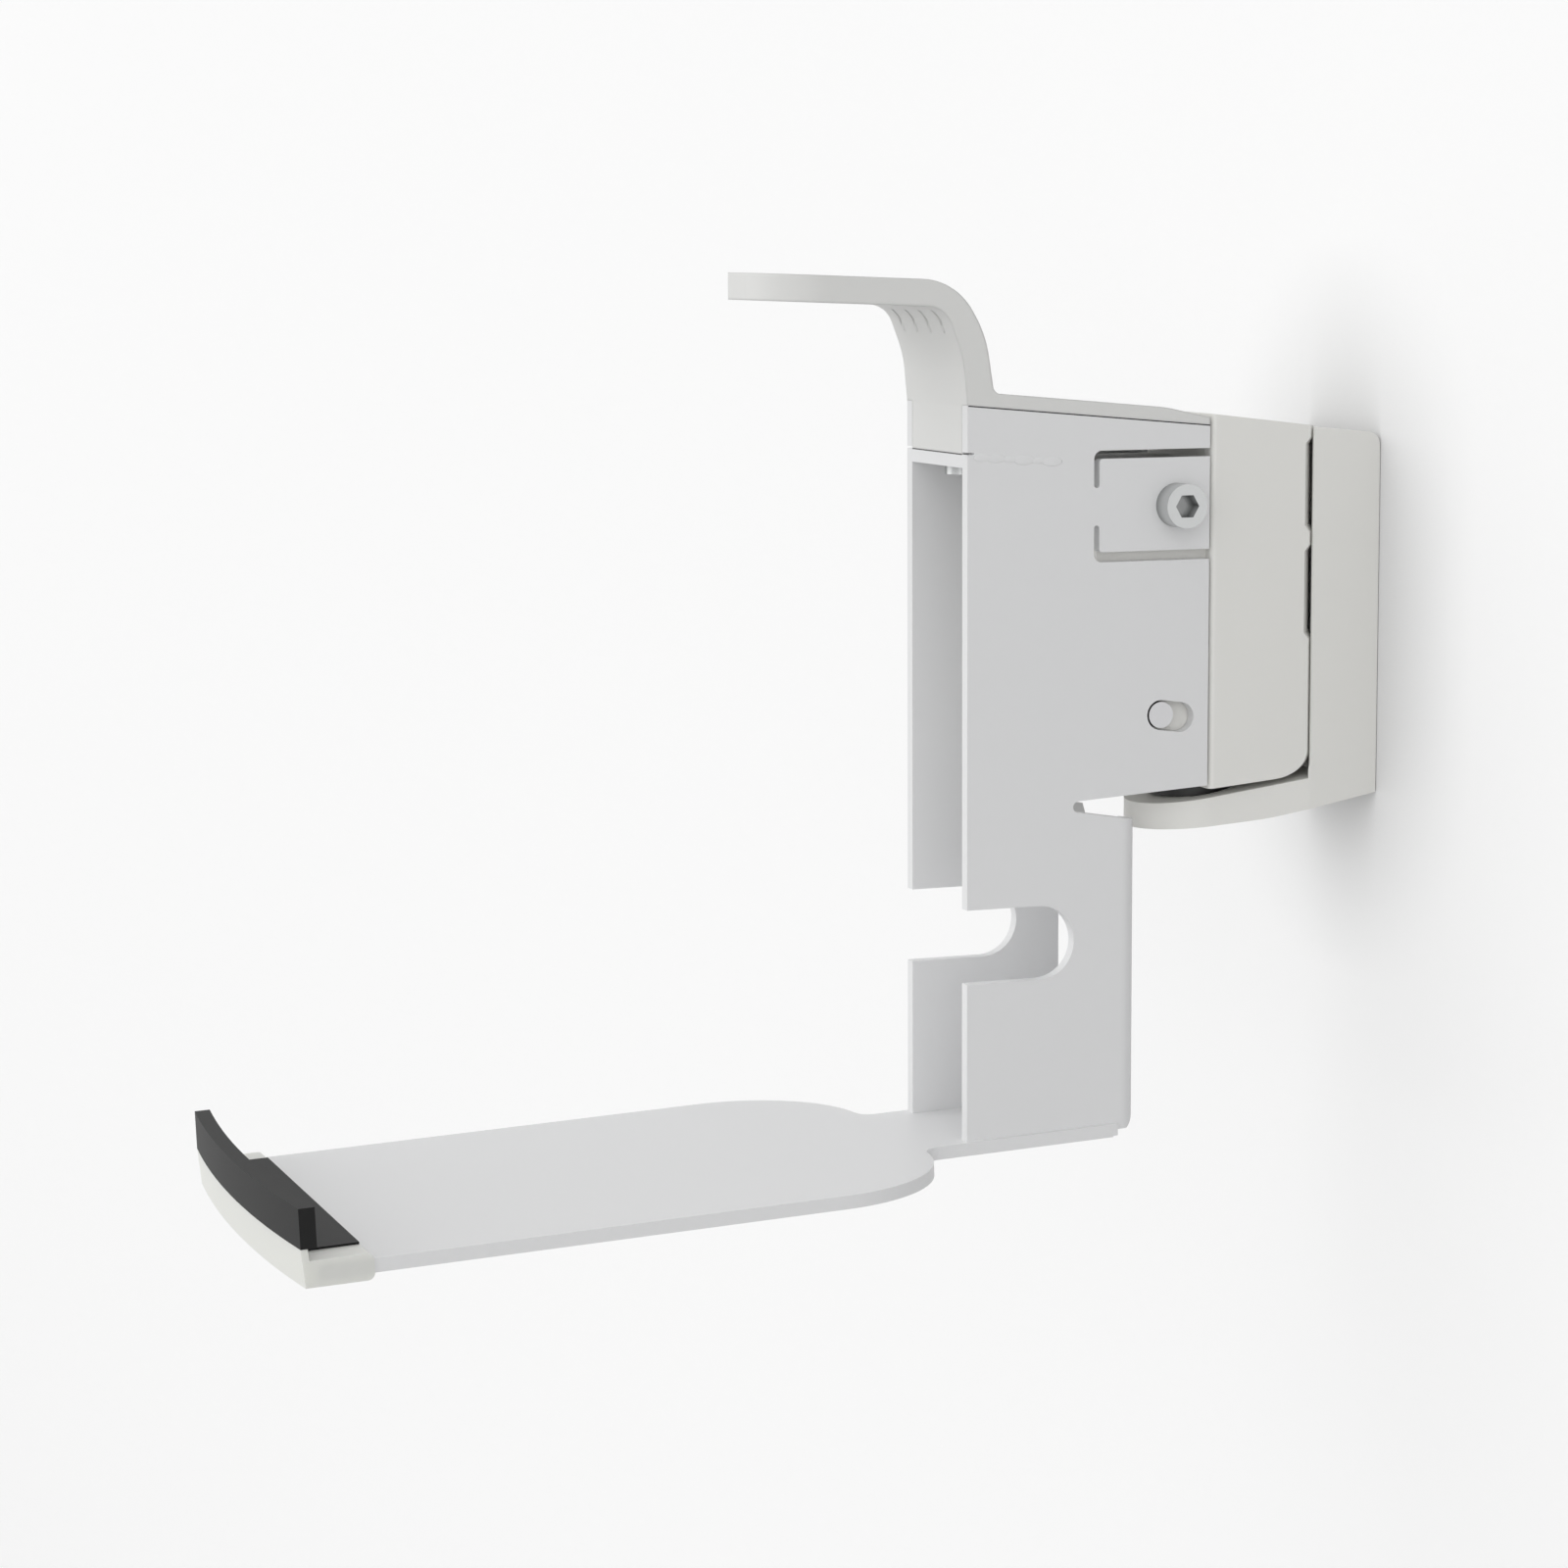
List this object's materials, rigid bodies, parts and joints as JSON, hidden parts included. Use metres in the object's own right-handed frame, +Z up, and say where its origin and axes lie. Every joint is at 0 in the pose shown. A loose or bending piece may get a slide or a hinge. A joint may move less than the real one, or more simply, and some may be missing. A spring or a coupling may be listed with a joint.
{
  "type": "speaker wall bracket",
  "caption": "Wall bracket for a shelf speaker: a swivelling block on a wall base carries a folded steel cradle with a lipped shelf below and a hook above.",
  "frame": {"origin": "middle of the wall base's rear face, on the wall", "axes": "+Z up, +Y out of the object's back into the wall, so the shelf stands out towards -Y; X runs across"},
  "size_m": [0.102, 0.2685, 0.2071],
  "materials": {
    "sheet_paint": "satin",
    "body_plastic": "fine matt",
    "hook_plastic": "fine matt",
    "cap_plastic": "satin, translucent",
    "black_rubber": "matt",
    "black_plastic": "matt",
    "zinc_screw": "bright zinc plate",
    "steel_pin": "ground"
  },
  "bodies": {
    "wall": {"wall_bracket": "body_plastic", "pivot_bush": "black_plastic"},
    "swivel": {"swivel_block": "body_plastic", "pivot_screw": "zinc_screw", "pivot_washer": "zinc_screw", "pivot_nut": "zinc_screw", "tilt_pin": "steel_pin"},
    "cradle": {"cradle_plate": "sheet_paint", "cross_plate": "sheet_paint", "hook": "hook_plastic", "hook_screw_left": "zinc_screw", "hook_screw_right": "zinc_screw", "end_cap": "cap_plastic", "front_pad": "black_rubber", "clamp_screw": "zinc_screw", "clamp_washer": "zinc_screw", "clamp_nut": "zinc_screw"}
  },
  "joints": [
    {"name": "swivel", "type": "hinge", "parent": "wall", "child": "swivel", "pos_m": [0, -0.039, 0], "axis": [0, 0, 1], "range_deg": [-35, 35]},
    {"name": "tilt", "type": "hinge", "parent": "swivel", "child": "cradle", "pos_m": [0, -0.043, 0.0452], "axis": [-1, 0, 0], "range_deg": [0, 4]}
  ]
}
